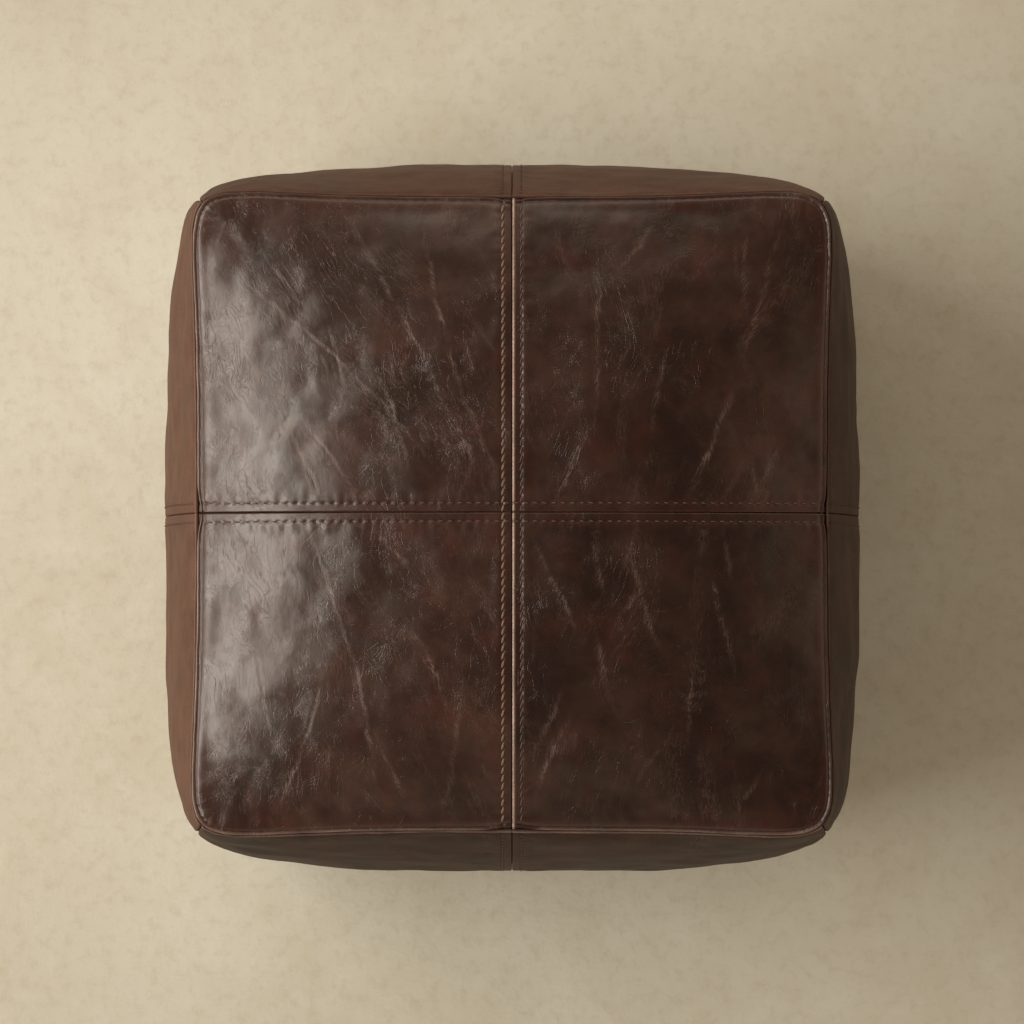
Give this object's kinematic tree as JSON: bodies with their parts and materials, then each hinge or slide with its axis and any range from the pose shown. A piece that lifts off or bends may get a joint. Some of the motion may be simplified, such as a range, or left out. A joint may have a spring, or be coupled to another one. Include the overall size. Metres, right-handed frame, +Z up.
{
  "type": "moroccan leather pouf",
  "caption": "Square stuffed pouf in dark leather panels, with topstitched opened seams over its top and sides and a coil zip in its base.",
  "frame": {"origin": "on the floor under the middle of the pouf", "axes": "+Z up, +X to the pouf's right and +Y to its back; the long top seam runs along Y and the base zip along X"},
  "size_m": [0.502, 0.502, 0.3501],
  "materials": {
    "leather": "glossy, creased",
    "base_leather": "satin",
    "thread": "waxed",
    "seam_tape": "woven cotton",
    "liner": "plain cotton",
    "filling": "loose cotton fibre",
    "zip_tape": "woven polyester",
    "zip_coil": "satin nylon",
    "zip_metal": "aged"
  },
  "bodies": {
    "cover": {"top_panel_front_left": "leather", "top_panel_front_right": "leather", "top_panel_back_left": "leather", "top_panel_back_right": "leather", "side_panel_right_front": "leather", "side_panel_right_back": "leather", "side_panel_back_right": "leather", "side_panel_back_left": "leather", "side_panel_left_back": "leather", "side_panel_left_front": "leather", "side_panel_front_left": "leather", "side_panel_front_right": "leather", "base_panel_front": "base_leather", "base_panel_back": "base_leather", "seam_tape_top_long": "seam_tape", "seam_tape_top_left": "seam_tape", "seam_tape_top_right": "seam_tape", "seam_tape_side_right": "seam_tape", "seam_tape_side_back": "seam_tape", "seam_tape_side_left": "seam_tape", "seam_tape_side_front": "seam_tape", "topstitch_long_seam_left": "thread", "topstitch_long_seam_right": "thread", "topstitch_cross_seam_left_front": "thread", "topstitch_cross_seam_left_back": "thread", "topstitch_cross_seam_right_front": "thread", "topstitch_cross_seam_right_back": "thread", "topstitch_side_right_front": "thread", "topstitch_side_right_back": "thread", "topstitch_side_back_right": "thread", "topstitch_side_back_left": "thread", "topstitch_side_left_back": "thread", "topstitch_side_left_front": "thread", "topstitch_side_front_left": "thread", "topstitch_side_front_right": "thread", "topstitch_zip_front": "thread", "topstitch_zip_back": "thread", "liner_bag": "liner", "filling": "filling", "zip_tape_front": "zip_tape", "zip_tape_back": "zip_tape", "zip_coil_front": "zip_coil", "zip_coil_back": "zip_coil", "zip_top_stop_front": "zip_metal", "zip_top_stop_back": "zip_metal", "zip_bottom_stop": "zip_metal"},
    "zip_slider": {"zip_slider": "zip_metal"},
    "zip_puller": {"zip_puller": "zip_metal"}
  },
  "joints": [
    {"name": "zip_slide", "type": "slide", "parent": "cover", "child": "zip_slider", "axis": [-1, 0, 0], "range_m": [0, 0.276]},
    {"name": "puller_swing", "type": "hinge", "parent": "zip_slider", "child": "zip_puller", "pos_m": [0.1382, 0, 0.0023], "axis": [0, -1, 0], "range_deg": [0, 180]}
  ]
}
